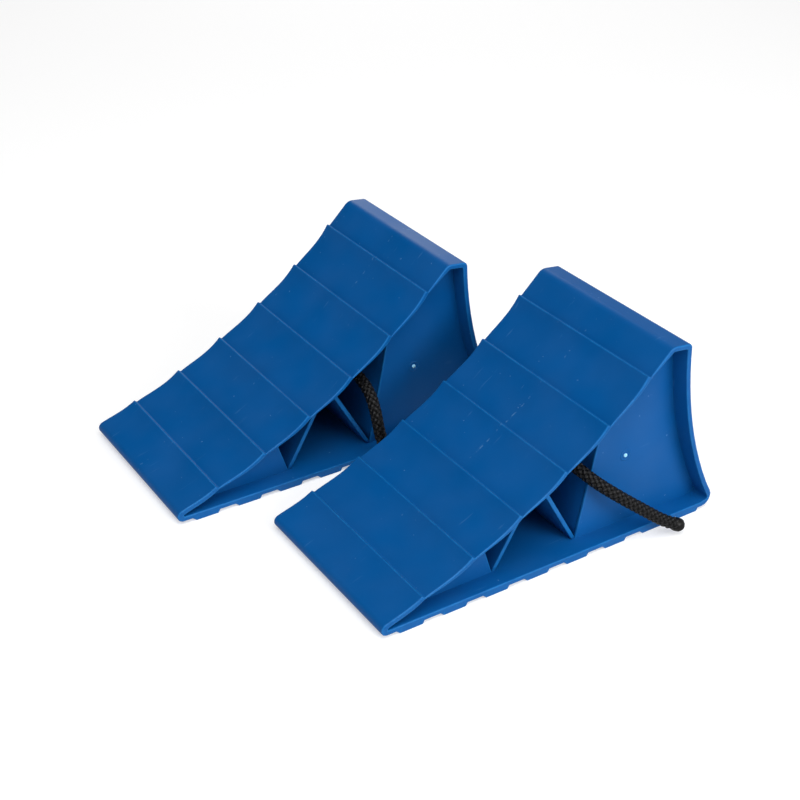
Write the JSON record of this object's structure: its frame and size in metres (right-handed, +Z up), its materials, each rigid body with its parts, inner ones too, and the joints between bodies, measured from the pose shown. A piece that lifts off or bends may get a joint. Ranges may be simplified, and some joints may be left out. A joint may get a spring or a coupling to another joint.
{
  "type": "wheel chock",
  "caption": "Pair of wedge wheel chocks with ridged curved ramps, hollow ribbed sides and grip lugs, tied together by a braided rope knotted through each web",
  "frame": {"origin": "middle of the two chocks' shared footprint, on the ground", "axes": "+X from the toes to the heels, +Y from the front chock to the rear chock, +Z up"},
  "size_m": [0.2873, 0.3151, 0.1253],
  "materials": {
    "moulding": "satin injection-moulded polypropylene, bright blue",
    "rope": "braided polypropylene rope, black",
    "sealed_end": "heat-sealed rope end, black"
  },
  "bodies": {
    "front": {"chock_front": "moulding", "knot_front": "rope", "rope_tail_front": "rope", "tip_front": "sealed_end", "rope_span": "rope"},
    "rear": {"chock_rear": "moulding", "knot_rear": "rope", "rope_tail_rear": "rope", "tip_rear": "sealed_end"}
  },
  "joints": [
    {"name": "pull_apart", "type": "slide", "parent": "front", "child": "rear", "axis": [0, 1, 0], "range_m": [0, 0.095], "deforming": ["rope_span"]}
  ]
}
